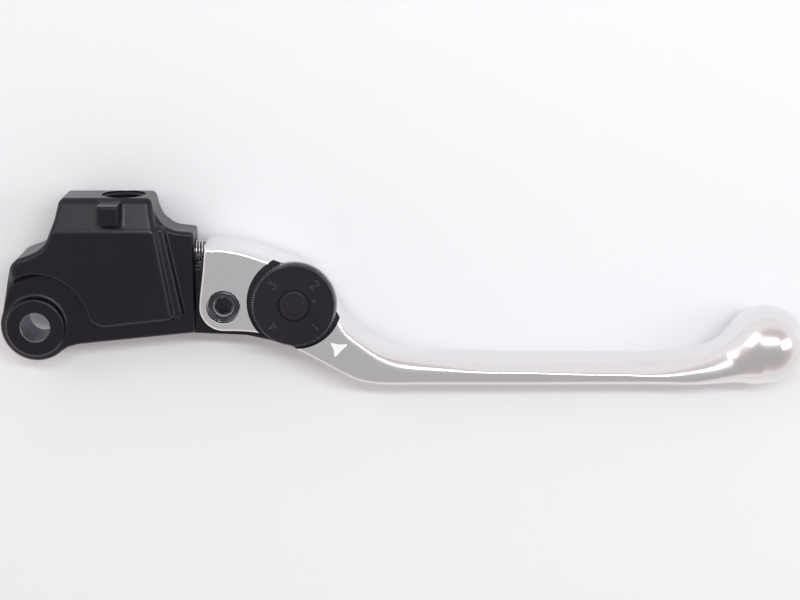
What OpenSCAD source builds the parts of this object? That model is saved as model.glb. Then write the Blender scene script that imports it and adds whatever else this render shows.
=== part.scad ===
// Clutch hand lever with a bolt-on pivot adapter, an adjustable reach dial and a ball end.
// Units are millimetres and +Z is up. The origin is on the main pivot axis at the lever's mid-plane,
// +X runs towards the ball tip and +Y away from the handlebar grip.

/* [Main pivot] */
// Inside diameter of the pivot bush
pivot_bore_d = 7.2; // [6:0.1:8]
// Outside diameter of the pivot bush
pivot_bush_d = 8.4; // [8:0.1:10]
// Radius of the raised pivot boss
boss_r = 7; // [6:0.1:8]
// Radius of the adapter's rounded end round the boss
lobe_r = 8.6; // [8:0.1:11]
// Height over both faces of the pivot boss
boss_h = 13.6; // [12:0.1:16]

/* [Adapter] */
// Thickness of the adapter's base plate
plate_t = 10.8; // [9:0.1:12]
// Thickness over the raised rod housing
housing_t = 17; // [14:0.1:20]
// Radius of the lowered floor round the pivot boss
floor_r = 13; // [11:0.1:15]
// Position of the adapter's far face, where the rod bore opens
face_y = 31.3; // [28:0.1:34]
// Drop of the housing's sloping facet at the far face
facet_drop = 2.6; // [0:0.1:4]
// Y where the sloping facet starts
facet_y = 23.4; // [20:0.1:27]
// Diameter of the push rod bore
rod_bore_d = 9.6; // [8:0.1:11]
// X of the push rod bore
rod_bore_x = 21.4; // [19:0.1:24]
// Depth of the push rod bore
rod_bore_depth = 14; // [8:0.5:16]
// Width of the switch lug
lug_w = 5; // [3:0.1:7]
// Length of the switch lug
lug_l = 4.6; // [3:0.1:6]
// Z of the switch lug's top
lug_top = 12.2; // [9:0.1:14]

/* [Hinge and tongue] */
// X of the hinge axis between adapter and lever
hinge_x = 45.3; // [42:0.1:48]
// Y of the hinge axis
hinge_y = 5.3; // [3:0.1:8]
// Thickness of the adapter's tongue
tongue_t = 7; // [5:0.1:8]
// Width of the slot between the lever's ears
slot_t = 7.8; // [6:0.1:9]
// Shoulder diameter of the hinge screw
hinge_pin_d = 6; // [5:0.1:7]
// Counterbore diameter over the hinge screw's head
hinge_head_bore_d = 8; // [7:0.1:9]

/* [Lever] */
// Thickness of the lever over its ears
clevis_t = 16; // [14:0.1:18]
// Diameter of the ball end
ball_d = 19.1; // [16:0.1:22]
// X of the ball's centre
ball_x = 176.5; // [150:0.1:185]
// Y of the ball's centre
ball_y = -5.7; // [-12:0.1:0]
// Width of the edge bevel along the lever's far edge
bevel = 2; // [0.5:0.1:3]

/* [Reach dial] */
// X of the dial axis
dial_x = 62.3; // [60:0.1:65]
// Y of the dial axis
dial_y = 6.4; // [5:0.1:8]
// Diameter of the dial over its knurl
dial_d = 20.1; // [17:0.1:22]
// Number of knurl teeth
knurl_count = 96; // [48:4:120]
// Z of the dial's underside
dial_z = 6.8; // [6.6:0.1:7.2]
// Height of the dial
dial_h = 4.4; // [3:0.1:5.5]
// Radius of the recess that the dial sits in
recess_r = 11.4; // [11:0.1:12]
// Cam radius at position one
cam_r = 4.7; // [4:0.1:5]
// Lift of the cam from position one to position four
cam_lift = 1.6; // [1:0.1:2]
// Turn of the dial from position one to position four, in degrees
dial_turn = 270; // [180:90:270]

/* [Spring] */
// Outside diameter of the take-up spring
spring_d = 5.2; // [4:0.1:6]
// Wire diameter of the take-up spring
wire_d = 0.5; // [0.4:0.05:0.8]
// Number of coils in the take-up spring
coils = 11; // [8:1:24]
// Y of the spring's axis
spring_y = 17.5; // [16:0.1:20]

/* [Part] */
// Which sub-part to draw

/* [Hidden] */
$fn = 72;
eps = 0.01;
big = 60;

black = [0.09, 0.09, 0.11];
steel = [0.62, 0.63, 0.65];
dark_steel = [0.3, 0.3, 0.32];
silver = [0.8, 0.8, 0.81];
white = [0.95, 0.95, 0.95];

fit = 0.04;                        // radial running clearance
adapter_right = 38.3;              // face that meets the heel's gap
spring_end = 40.85;                // spring's seat on the lever's heel
spigot_r = 1.7;                    // peg that centres the spring on the heel
eye_r = 5.6;                       // tongue's eye round the hinge
heel_r = 6;                        // heel's rounded end round the hinge
screw_head_z = 5;                  // seat of the hinge screw's head
nut_z = -4.9;                      // seat of the hinge nut
recess_z = 6.5;                    // floor of the dial recess
pad_t = 0.8;
pad_gap = 0.06;
pad_y = dial_y - cam_r - pad_gap;  // top of the wear pad
pad_x = [55.2, 66.2];
shaft_d = 6;
flat_w = 5;                        // across the shaft's flats
journal_d = 4.8;
clip_z = -7.2;                     // middle of the shaft's clip groove
spring_seat = 5;                   // depth of the spring's hole in the adapter
spring_bore_d = spring_d + 0.6;
detent_r = 8.5;
detent_a = -30;
detent_ball_d = 2;
rod_cup_d = 8;
rod_cup_t = 3.5;
hinge = [hinge_x, hinge_y, 0];
dial_axis = [dial_x, dial_y, 0];

adapter_outline = [
  [5.6, -6.5], [7.4, -5.3], [10, -4.6], [adapter_right, -1.7], [adapter_right, 22.8], [33.4, 23.3],
  [30.6, 25.2], [29.1, 28], [28.6, 30.6], [27.8, face_y], [8.4, face_y], [7.5, 30.4], [6.4, 26],
  [5.2, 23.4], [3.5, 20.7], [1.5, 18.9], [-0.9, 17.8], [-3.5, 16.9], [-5, 15.4], [-5.8, 13],
  [-7.3, 6.6], [-8.6, 0]
];
housing_outline = [
  [11, 3], [14.4, 0.6], [16, 0.2], [32.6, 2], [33.3, 3], [28.9, 28.4], [28.6, 30.6], [27.8, face_y],
  [8.4, face_y], [7.5, 30.4], [6.4, 26], [5.2, 23.4], [3.5, 20.7], [1.5, 18.9], [-0.9, 17.8],
  [-3.4, 16.8], [-4.8, 14.6], [-4, 11]
];
step_outline = [[28, 24.9], [31.4, 24.4], [35.6, 3.4], [35, 2.3], [30, 1.8]];
tongue_outline = [
  [adapter_right - 4, -2], [50.5, -2.7], [55, -3.7], [60, -5], [66.2, -5.3], [67, -4.4],
  [67, pad_y - pad_t], [54.6, pad_y - pad_t], [50.4, 3], [50, 8.6], [47.5, 12.3], [43.5, 14],
  [adapter_right - 4, 14]
];

lever_outline = [
  [40.9, 19], [41.6, 19.7], [46, 19.8], [55.7, 17.2], [64.3, 13.4], [70.2, 7], [74.6, 0.8],
  [77.6, -2.1], [80.8, -3.8], [76.3, -12.6], [72.6, -10.9], [68.1, -8.1], [64, -5.9], [59, -3.2],
  [54, -1.2], [50, -0.7], [hinge_x, hinge_y - heel_r], [39.5, 7]
];
slot_outline = [
  [30, -12], [30, 15], [49, 15], [53, 12], [56, 9], [67.2, 3], [67.2, -12]
];
far_edges = [
  [[41.6, 19.7], [46, 19.8]], [[46, 19.8], [55.7, 17.2]], [[55.7, 17.2], [64.3, 13.4]],
  [[64.3, 13.4], [70.2, 7]], [[70.2, 7], [74.6, 0.8]]
];

// Blade stations: x, y of the centre line, half width across the blade and half thickness.
blade_stations = [
  [73.4, -5.1, 4.5, 7.4], [77.4, -7.5, 4.5, 7.3], [81.7, -9.5, 4.3, 7],
  [88.7, -10.7, 3.75, 6.7], [102, -11.1, 3.5, 6.5], [118, -11.3, 3.5, 6.5], [134, -11.4, 3.5, 6.5],
  [148, -11.4, 3.5, 6.5], [155, -11.3, 3.65, 6.5], [161, -10.9, 4.15, 6.7], [166, -10, 5.2, 7.2],
  [170, -8.6, 6.4, 8], [173.8, -6.9, 7.7, 8.6]
];
blade_steps = 3;
blade_sides = 28;

// ---------- helpers ----------

function turned(p, a) = [p[0] * cos(a) - p[1] * sin(a), p[0] * sin(a) + p[1] * cos(a)];
function power(v, n) = sign(v) * pow(abs(v), n);

// One point of a smooth curve through four neighbours.
function smooth(a, b, c, d, t) =
  0.5 * (2 * b + (c - a) * t + (2 * a - 5 * b + 4 * c - d) * t * t
         + (3 * b - a - 3 * c + d) * t * t * t);
function station(i) = blade_stations[max(0, min(len(blade_stations) - 1, i))];
function station_at(k) =
  let (i = floor(k / blade_steps), t = k / blade_steps - i)
  smooth(station(i - 1), station(i), station(i + 1), station(i + 2), t);

// A tube of section points from rings of equal length, closed at both ends.
module loft(rings) {
  n = len(rings[0]);
  m = len(rings);
  points = [for (ring = rings) for (p = ring) p];
  walls = [for (i = [0:m - 2]) for (j = [0:n - 1])
    [i * n + j, (i + 1) * n + j, (i + 1) * n + (j + 1) % n, i * n + (j + 1) % n]];
  halves = [for (q = walls) for (t = [[q[0], q[1], q[2]], [q[0], q[2], q[3]]]) t];
  first = [[for (j = [0:n - 1]) j]];
  last = [[for (j = [0:n - 1]) m * n - 1 - j]];
  polyhedron(points, concat(halves, first, last));
}

// A round wire coil along +Z from z = 0, as rings of wire section points.
module coil(outside_d, wire, turns, length, per_turn, sides) {
  mean_r = (outside_d - wire) / 2;
  steps = turns * per_turn;
  rise = (length - wire) / turns;
  loft([for (k = [0:steps]) let (a = 360 * k / per_turn, h = wire / 2 + rise * k / per_turn)
    [for (j = [0:sides - 1]) let (b = -360 * j / sides)
      [(mean_r + wire / 2 * cos(b)) * cos(a), (mean_r + wire / 2 * cos(b)) * sin(a),
       h + wire / 2 * sin(b)]]]);
}

module slab(outline, t) {
  translate([0, 0, -t / 2]) linear_extrude(height = t) polygon(outline);
}

module disc(r, z0, z1) {
  translate([0, 0, z0]) cylinder(r = r, h = z1 - z0);
}

module ring(r_out, r_in, z0, z1) {
  difference() {
    disc(r_out, z0, z1);
    disc(r_in, z0 - 1, z1 + 1);
  }
}

// A post with a bevelled rim at each end.
module bevelled_post(r, h, c) {
  disc(r, -h / 2 + c, h / 2 - c);
  for (s = [0, 1]) mirror([0, 0, s])
    translate([0, 0, h / 2 - c - eps]) cylinder(r1 = r, r2 = r - c, h = c + eps);
}

// A wedge that takes the top edge between two outline points off a slab of thickness t.
module edge_wedge(a, b, t, c) {
  along = [b[0] - a[0], b[1] - a[1]];
  reach = norm(along);
  translate([a[0], a[1], t / 2]) rotate([0, 0, atan2(along[1], along[0])])
    translate([-1.2, 0, 0]) rotate([90, 0, 90])
      linear_extrude(height = reach + 2.4) polygon([[-c, eps], [-c, 2], [3, 2], [3, -c], [0, -c]]);
}

// Double-flatted bar or hole.
module flatted(d, across, z0, z1) {
  intersection() {
    disc(d / 2, z0, z1);
    translate([-across / 2, -d, z0]) cube([across, 2 * d, z1 - z0]);
  }
}

// Plain numerals made of bars, one unit tall.
module bars(strokes) {
  for (s = strokes) {
    d = s[1] - s[0];
    translate(s[0]) rotate([0, 0, atan2(d[1], d[0])]) translate([-0.06, -0.06])
      square([norm(d) + 0.12, 0.12]);
  }
}
module numeral(n) {
  if (n == 1) bars([[[0.3, 0], [0.3, 1]], [[0.3, 1], [0.08, 0.75]]]);
  if (n == 2) bars([[[0, 1], [0.6, 1]], [[0.6, 1], [0.6, 0.5]], [[0.6, 0.5], [0, 0]], [[0, 0], [0.6, 0]]]);
  if (n == 3) bars([[[0, 1], [0.6, 1]], [[0.6, 1], [0.6, 0]], [[0, 0], [0.6, 0]], [[0.15, 0.5], [0.6, 0.5]]]);
  if (n == 4) bars([[[0.1, 1], [0.1, 0.4]], [[0.1, 0.4], [0.65, 0.4]], [[0.5, 1], [0.5, 0]]]);
}

// ---------- adapter ----------

module adapter_body() {
  color(black) difference() {
    union() {
      disc(lobe_r, -plate_t / 2, plate_t / 2);
      slab(adapter_outline, plate_t);
      bevelled_post(boss_r, boss_h, 0.3);
      difference() {
        union() {
          slab(housing_outline, housing_t);
          slab(step_outline, housing_t - 3);
        }
        disc(floor_r, -big, big);
      }
      switch_lug();
      slab(tongue_outline, tongue_t);
      translate(hinge) disc(eye_r, -tongue_t / 2, tongue_t / 2);
    }
    difference() {
      facet_cut();
      translate([rod_bore_x - 4.3 + eps, 26.2 - eps, 0]) cube([lug_w - 2 * eps, lug_l + 2 * eps, 20]);
    }
    mirror([0, 0, 1]) facet_cut();
    disc(pivot_bush_d / 2, -big, big);
    // push rod bore with its narrower cup seat
    translate([rod_bore_x, face_y, 0]) rotate([90, 0, 0]) {
      disc(rod_bore_d / 2, -5, rod_bore_depth);
      disc(rod_cup_d / 2, rod_bore_depth - 1, rod_bore_depth + rod_cup_t);
    }
    // spring seat
    translate([adapter_right - spring_seat, spring_y, 0]) rotate([0, 90, 0])
      disc(spring_bore_d / 2, 0, 20);
    translate(hinge) disc(4, -big, big);
    // pocket for the wear pad
    translate([pad_x[0], pad_y - pad_t, -tongue_t / 2 - 1]) cube([pad_x[1] - pad_x[0], 5, tongue_t + 2]);
  }
}

// Slopes the housing down towards the far face.
module facet_cut() {
  slope = atan2(facet_drop, face_y - facet_y);
  translate([-20, facet_y, housing_t / 2]) rotate([-slope, 0, 0]) cube([80, 20, 10]);
}

module switch_lug() {
  translate([rod_bore_x - 4.3, 26.2, 4]) cube([lug_w, lug_l, lug_top - 0.5 - 4]);
  translate([rod_bore_x - 3.9, 26.6, 4]) cube([lug_w - 0.8, lug_l - 0.8, lug_top - 4]);
}

module pivot_bush() {
  color(steel) difference() {
    disc(pivot_bush_d / 2, -boss_h / 2 + 0.5, boss_h / 2 - 0.5);
    disc(pivot_bore_d / 2, -big, big);
  }
}

module pushrod_cup() {
  color(steel) translate([rod_bore_x, face_y - rod_bore_depth, 0]) rotate([90, 0, 0]) difference() {
    disc(rod_cup_d / 2, 0, rod_cup_t);
    sphere(r = 2.6);
  }
}

module cam_pad() {
  color(steel) translate([pad_x[0], pad_y - pad_t, -tongue_t / 2])
    cube([pad_x[1] - pad_x[0], pad_t, tongue_t]);
}

module hinge_bush() {
  color(steel) translate(hinge) ring(4, hinge_pin_d / 2 + fit, -tongue_t / 2, tongue_t / 2);
}

module hinge_washers() {
  color(steel) translate(hinge) for (s = [0, 1]) mirror([0, 0, s])
    ring(4.8, hinge_pin_d / 2 + fit, tongue_t / 2, slot_t / 2 - 0.05);
}

module reach_spring() {
  length = spring_end - adapter_right + spring_seat;
  color(steel) translate([adapter_right - spring_seat, spring_y, 0]) rotate([0, 90, 0])
    coil(spring_d, wire_d, coils, length, 18, 7);
}

// ---------- lever ----------

module blade_shape() {
  count = (len(blade_stations) - 1) * blade_steps;
  loft([for (k = [0:count])
    let (s = station_at(k), a = station_at(max(0, k - 0.3)), b = station_at(min(count - 0.01, k + 0.3)),
         dir = atan2(b[1] - a[1], b[0] - a[0]))
    [for (j = [0:blade_sides - 1])
      let (t = -360 * (j + 0.5) / blade_sides, p = turned([0, s[2] * power(cos(t), 0.8)], dir))
      [s[0] + p[0], s[1] + p[1], -s[3] * power(sin(t), 0.8)]]]);
  translate([ball_x, ball_y, 0]) sphere(d = ball_d);
}

// Bevels every second far edge of the clevis, from the given one on.
module bevel_edges(first) {
  difference() {
    children();
    for (s = [0, 1]) mirror([0, 0, s]) for (i = [first:2:len(far_edges) - 1])
      edge_wedge(far_edges[i][1], far_edges[i][0], clevis_t, bevel);
  }
}

// The heel and its two ears.
module clevis_blank() {
  bevel_edges(0) bevel_edges(1) union() {
    slab(lever_outline, clevis_t);
    translate(hinge) disc(heel_r, -clevis_t / 2, clevis_t / 2);
  }
}

module slotted_clevis() {
  difference() {
    clevis_blank();
    translate([0, 0, -slot_t / 2]) linear_extrude(height = slot_t) {
      polygon(slot_outline);
      translate([dial_x, dial_y]) circle(r = cam_r + cam_lift + 0.4);
    }
  }
}

module bored_clevis() {
  difference() {
    difference() {
      slotted_clevis();
      dial_seat();
    }
    hinge_seat();
  }
}

module lever_blade() {
  color(silver) union() {
    difference() {
      bored_clevis();
      // flat seat for the spring
      translate([spring_end + 0.05, spring_y, 0]) rotate([0, -90, 0]) disc(spring_bore_d / 2, 0, 10);
      index_pocket(0.3);
    }
    translate([spring_end - 1.2, spring_y, 0]) rotate([0, 90, 0]) disc(spigot_r, 0, 2);
    blade_shape();
  }
}

// Recess, shaft bores, clip counterbore and detent hole on the dial axis.
module dial_seat() {
  translate(dial_axis) {
    disc(recess_r, recess_z, 20);
    disc(shaft_d / 2 + fit, 2, 20);
    disc(journal_d / 2 + fit, -20, 2);
    disc(5.6, -20, -6.4);
    rotate([0, 0, detent_a]) translate([detent_r, 0, 0]) disc(detent_ball_d / 2 + fit, 1.5, 20);
  }
}

module hinge_seat() {
  translate(hinge) {
    disc(hinge_pin_d / 2, -20, 20);
    disc(hinge_head_bore_d / 2, screw_head_z, 20);
    translate([0, 0, -20]) cylinder(d = 9.3, h = 20 + nut_z, $fn = 6);
  }
}

module index_pocket(depth) {
  translate([0, 0, clevis_t / 2 - depth]) linear_extrude(height = depth + 0.02)
    polygon([[70.7, -3.9], [74.6, -4.3], [71.6, -7.1]]);
}

module index_mark() {
  color(white) translate([0, 0, -0.02]) index_pocket(0.28);
}

module hinge_screw() {
  color(dark_steel) translate(hinge) difference() {
    union() {
      disc(hinge_pin_d / 2 - eps, nut_z, screw_head_z);
      disc(2.5, -7.9, 0);
      disc(3.75, screw_head_z, 6.3);
      translate([0, 0, 6.3 - eps]) cylinder(r1 = 3.75, r2 = 3.5, h = 0.25);
    }
    // six-lobe socket
    translate([0, 0, 4.4]) {
      cylinder(r = 1.75, h = 5);
      for (a = [0:60:300]) rotate([0, 0, a]) translate([1.7, 0, 0]) cylinder(r = 0.5, h = 5);
    }
    translate([0, 0, 6.3]) cylinder(r1 = 2.2, r2 = 2.6, h = 0.4);
  }
}

module hinge_nut() {
  color(steel) translate(hinge) difference() {
    translate([0, 0, -7.7]) cylinder(d = 9.2, h = 7.7 + nut_z, $fn = 6);
    disc(2.5, -20, 20);
  }
}

module detent_ball() {
  color(steel) translate(dial_axis) rotate([0, 0, detent_a])
    translate([detent_r, 0, dial_z + 0.35 - detent_ball_d / 2]) sphere(d = detent_ball_d);
}

module detent_spring() {
  top = dial_z + 0.35 - detent_ball_d;
  color(steel) translate(dial_axis) rotate([0, 0, detent_a]) translate([detent_r, 0, 1.5])
    coil(1.9, 0.3, 6, top - 1.5, 12, 6);
}

// ---------- dial ----------

module knurled_disc(h) {
  tip = dial_d / 2;
  root = tip - 0.35;
  linear_extrude(height = h)
    polygon([for (i = [0:knurl_count * 2 - 1]) let (r = i % 2 == 0 ? tip : root, a = 180 * i / knurl_count)
      [r * cos(a), r * sin(a)]]);
}

module dial_cap() {
  top = dial_z + dial_h;
  color(black) translate(dial_axis) difference() {
    translate([0, 0, dial_z]) intersection() {
      knurled_disc(dial_h);
      union() {
        cylinder(r = dial_d / 2 + 1, h = dial_h - 0.6);
        translate([0, 0, dial_h - 0.6]) cylinder(r1 = dial_d / 2 + 0.1, r2 = dial_d / 2 - 0.5, h = 0.6);
      }
    }
    flatted(shaft_d + 0.02, flat_w + 0.02, 0, 20);
    disc(3.62, 9.2, 20);
    // groove for the detent ball, with a deeper stop at each position
    ring(detent_r + detent_ball_d / 2 + fit, detent_r - detent_ball_d / 2 - fit, 0, dial_z + 0.4);
    for (i = [0:3]) rotate([0, 0, detent_a + 90 * i])
      translate([detent_r, 0, 0]) disc(0.8, 0, dial_z + 0.7);
    for (i = [0:3]) rotate([0, 0, -45 + 90 * i]) translate([7, 0, top - 0.2])
      rotate([0, 0, -90]) scale([2.1, 2.1, 2.1]) translate([-0.32, -0.5, 0])
        linear_extrude(height = 1) numeral(i + 1);
  }
}

module dial_shaft() {
  color(dark_steel) translate(dial_axis) difference() {
    union() {
      disc(journal_d / 2, -7.8, -3.5);
      flatted(shaft_d, flat_w, -3.5, 3.5);
      disc(shaft_d / 2, 3.5, dial_z);
      flatted(shaft_d, flat_w, dial_z - eps, 9.1);
    }
    ring(4, 1.9, clip_z - 0.3, clip_z + 0.3);
    disc(1.5, 4, 20);
  }
}

// Spiral cam: its radius grows by cam_lift over the dial's turn, then eases back.
module reach_cam() {
  count = 90;
  function radius(u) = u <= dial_turn ? cam_r + cam_lift * u / dial_turn
    : cam_r + cam_lift * (1 - cos(180 * (360 - u) / (360 - dial_turn))) / 2;
  color(steel) translate(dial_axis) difference() {
    translate([0, 0, -3.45]) linear_extrude(height = 6.9)
      polygon([for (i = [0:count - 1]) let (u = 360 * i / count)
        [radius(u) * cos(u - 90), radius(u) * sin(u - 90)]]);
    flatted(shaft_d + 0.02, flat_w + 0.02, -5, 5);
  }
}

module dial_screw() {
  color(steel) translate(dial_axis) difference() {
    union() {
      disc(1.48, 4.6, 9.2);
      disc(2.75, 9.2, 10.5);
    }
    translate([0, 0, 9.7]) cylinder(d = 2.9, h = 5, $fn = 6);
  }
}

module centre_cap() {
  color(black) translate(dial_axis) {
    disc(3.6, 10.6, dial_z + dial_h);
    translate([0, 0, dial_z + dial_h - eps]) cylinder(r1 = 3.6, r2 = 3.4, h = 0.12);
  }
}

module thrust_washer() {
  color(steel) translate(dial_axis) ring(4.8, journal_d / 2 + fit, -6.85, -6.45);
}

module retaining_ring() {
  color(dark_steel) translate(dial_axis) difference() {
    ring(4.3, 1.92, clip_z - 0.25, clip_z + 0.25);
    rotate([0, 0, -20]) translate([0, -1.6, -big]) cube([big, 3.2, 2 * big]);
  }
}

adapter_body();
pivot_bush();
pushrod_cup();
cam_pad();
hinge_bush();
hinge_washers();
reach_spring();
lever_blade();
hinge_screw();
hinge_nut();
index_mark();
detent_ball();
detent_spring();
dial_cap();
dial_shaft();
reach_cam();
dial_screw();
centre_cap();
thrust_washer();
retaining_ring();
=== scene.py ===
"""Visual model of a clutch lever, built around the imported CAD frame.

Shapes are worked out in millimetres in the CAD frame: the origin is on the main pivot axis at the
lever's mid-plane, +X runs to the ball end, +Y away from the grip and +Z to the dial's side.
The lever and the adapter are solids given by distance functions, meshed by surface nets, and their
machined holes are cut afterwards with fine cylinders. Meshes are made in metres.
"""
import math

import bpy
import numpy as np
from mathutils import Matrix, Vector


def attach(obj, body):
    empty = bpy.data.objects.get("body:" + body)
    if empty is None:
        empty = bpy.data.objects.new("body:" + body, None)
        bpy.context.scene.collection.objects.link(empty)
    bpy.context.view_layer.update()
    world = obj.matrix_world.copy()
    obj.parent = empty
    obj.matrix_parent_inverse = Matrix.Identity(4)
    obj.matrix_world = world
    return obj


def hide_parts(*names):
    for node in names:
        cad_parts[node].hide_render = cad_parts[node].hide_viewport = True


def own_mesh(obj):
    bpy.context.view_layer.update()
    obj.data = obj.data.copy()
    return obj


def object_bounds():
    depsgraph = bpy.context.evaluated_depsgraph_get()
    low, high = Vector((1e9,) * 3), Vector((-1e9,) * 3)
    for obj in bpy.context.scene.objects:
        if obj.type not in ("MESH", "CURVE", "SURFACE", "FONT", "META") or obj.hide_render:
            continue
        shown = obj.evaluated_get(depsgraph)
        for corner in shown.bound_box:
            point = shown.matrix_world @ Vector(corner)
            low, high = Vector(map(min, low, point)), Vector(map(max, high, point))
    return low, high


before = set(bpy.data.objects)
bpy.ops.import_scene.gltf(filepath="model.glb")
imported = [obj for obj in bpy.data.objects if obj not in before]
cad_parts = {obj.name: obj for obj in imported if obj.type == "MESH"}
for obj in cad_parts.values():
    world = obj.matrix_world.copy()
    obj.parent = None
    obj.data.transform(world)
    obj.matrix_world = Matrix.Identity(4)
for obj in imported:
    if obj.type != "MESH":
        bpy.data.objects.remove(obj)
cad_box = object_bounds()
MM = 0.001

# ---------------------------------------------------------------- main sizes, as in the CAD

# the hinge's and the dial's axes
HINGE = (45.3, 5.3)
DIAL = (62.3, 6.4)
HINGE_AT, DIAL_AT = (*HINGE, 0), (*DIAL, 0)

# the adapter: boss, plate, raised housing with a sloped facet, push rod's bore, switch lug, tongue
BOSS_R, BOSS_TOP = 7.0, 6.8
LOBE_R = 8.6
LINER_R, LINER_TOP, BORE_R = 4.2, 6.4, 3.6
PLATE_TOP, STEP_TOP, HOUSING_TOP = 5.4, 7.1, 8.5
FLOOR_R = 13.0  # the raised housing starts this far from the pivot
FACE_Y = 31.3
FACET_Y, FACET_DROP = 23.4, 2.6
ROD_X, ROD_R, ROD_DEPTH = 21.4, 4.8, 14.0
CUP_R, CUP_DEPTH = 4.0, 3.5
LUG, LUG_HALF, LUG_TOP = (19.0, 28.1), (2.5, 2.3), 12.2
ADAPTER_RIGHT = 38.3
TONGUE_HALF, EYE_R, BUSH_R = 3.5, 5.6, 4.0
PAD_Y = 0.84

# the take-up spring, its bore in the adapter and its peg on the heel
SPRING_Y, SPRING_D, WIRE, COILS, SEAT = 17.5, 5.2, 0.5, 11, 5.0
SPRING_END, SPRING_BORE_R, PEG_R = 40.85, 2.9, 1.4

# the lever: ball, heel, slot for the tongue, room of the cam, seats of the dial, screw and nut
BALL = (176.5, -5.7)
BALL_R = 9.55
BLADE_END = 173.5
HEEL_R = 6
CLEVIS_TOP, BLADE_TOP, BALL_RISE = 8.0, 6.5, 1.4
SLOT_HALF, CAM_ROOM_R = 3.9, 6.7
RECESS_R, RECESS_FLOOR = 11.4, 6.5
HINGE_BORE_R, HEAD_BORE_R, HEAD_SEAT = 3.02, 4.0, 5
NUT_R, NUT_ROOM_R, NUT_SEAT = 4.6, 4.66, 4.9
SOCKET_R = 1.9

# the dial, its shaft and its stops
DIAL_Z = 6.8
SHAFT_BORE_R, TAIL_BORE_R = 3.04, 2.44
FLATTED_R, FLATS = 3.02, 5.04
CLIP_ROOM_R, CLIP_SEAT = 5.6, 6.4
STOP_AT, STOP_R, FIRST_STOP, DETENT_BORE_R = 8.5, 0.8, -30, 1.04
NUMERAL_AT, NUMERAL_SIZE, STROKE_HALF, STROKE_FLOOR = 7.1, 2.2, 0.13, 10.92

GRID = 0.25  # the step of the grid that the lever and the adapter are meshed on
PAST = 20  # where a cutter ends that runs past the part

# ---------------------------------------------------------------- numbers


def ease(a, b, x):
    """Smoothly from 0 at a to 1 at b."""
    t = np.clip((x - a) / (b - a), 0, 1)
    return t * t * (3 - 2 * t)


def smin(a, b, k):
    """The lower of two distances, blended over k."""
    h = np.clip(0.5 + 0.5 * (b - a) / k, 0, 1)
    return b + (a - b) * h - k * h * (1 - h)


def smax(a, b, k):
    """The higher of two distances, blended over k."""
    return -smin(-a, -b, k)


def through(x, knots):
    """A smooth curve through (x, value) knots."""
    kx, kv = np.array(knots, float).T
    out = np.full(np.shape(x), kv[0])
    for i in range(len(kx) - 1):
        out = out + (kv[i + 1] - kv[i]) * ease(kx[i], kx[i + 1], x)
    return out


def polar(centre, radius, angle):
    """The point at a radius and an angle from a centre, in plan."""
    return centre[0] + radius * math.cos(angle), centre[1] + radius * math.sin(angle)


def filleted(points, radius):
    """The polygon's corners rounded. A point may carry its own radius as a third number."""
    # a corner takes at most this share of each edge, and one that is nearly straight stays as it is
    share, straight, least = 0.48, 1.565, 0.02
    # an arc's chords are about this long, or turn by about this much where that is shorter
    chord, bend = 0.3, 0.15
    pts = [np.array(p[:2], float) for p in points]
    radii = [p[2] if len(p) > 2 else radius for p in points]
    out = []
    for i, p in enumerate(pts):
        a, b = pts[i - 1] - p, pts[(i + 1) % len(pts)] - p
        la, lb = np.linalg.norm(a), np.linalg.norm(b)
        a, b = a / la, b / lb
        half = math.acos(float(np.clip(a @ b, -1, 1))) / 2
        reach = min(radii[i] / math.tan(half), share * la, share * lb) if half < straight else 0
        if reach < least:
            out.append(p)
            continue
        r = reach * math.tan(half)
        middle = p + (a + b) / np.linalg.norm(a + b) * (r / math.sin(half))
        start, end = p + a * reach - middle, p + b * reach - middle
        t0, t1 = math.atan2(start[1], start[0]), math.atan2(end[1], end[0])
        turn = (t1 - t0 + math.pi) % (2 * math.pi) - math.pi
        n = max(2, int(abs(turn) * max(r, 1) / chord), int(abs(turn) / bend))
        for k in range(n + 1):
            t = t0 + turn * k / n
            out.append(middle + r * np.array([math.cos(t), math.sin(t)]))
    return np.array(out)


def spline(points, step=0.7):
    """A smooth curve through the points, with knots spaced by the root of their distance."""
    p = np.array(points, float)
    p = np.vstack([2 * p[0] - p[1], p, 2 * p[-1] - p[-2]])
    out = []
    for i in range(1, len(p) - 2):
        q = p[i - 1:i + 3]
        t = np.concatenate([[0], np.cumsum(np.linalg.norm(np.diff(q, axis=0), axis=1) ** 0.5)])

        def mix(u, v, t0, t1, s):
            return ((t1 - s) * u + (s - t0) * v) / (t1 - t0)

        count = max(2, int(np.linalg.norm(q[2] - q[1]) / step))
        for s in np.linspace(t[1], t[2], count, endpoint=False):
            one = [mix(q[j], q[j + 1], t[j], t[j + 1], s) for j in range(3)]
            two = [mix(one[j], one[j + 1], t[j], t[j + 2], s) for j in range(2)]
            out.append(mix(two[0], two[1], t[1], t[2], s))
    out.append(p[-2])
    return np.array(out)


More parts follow.
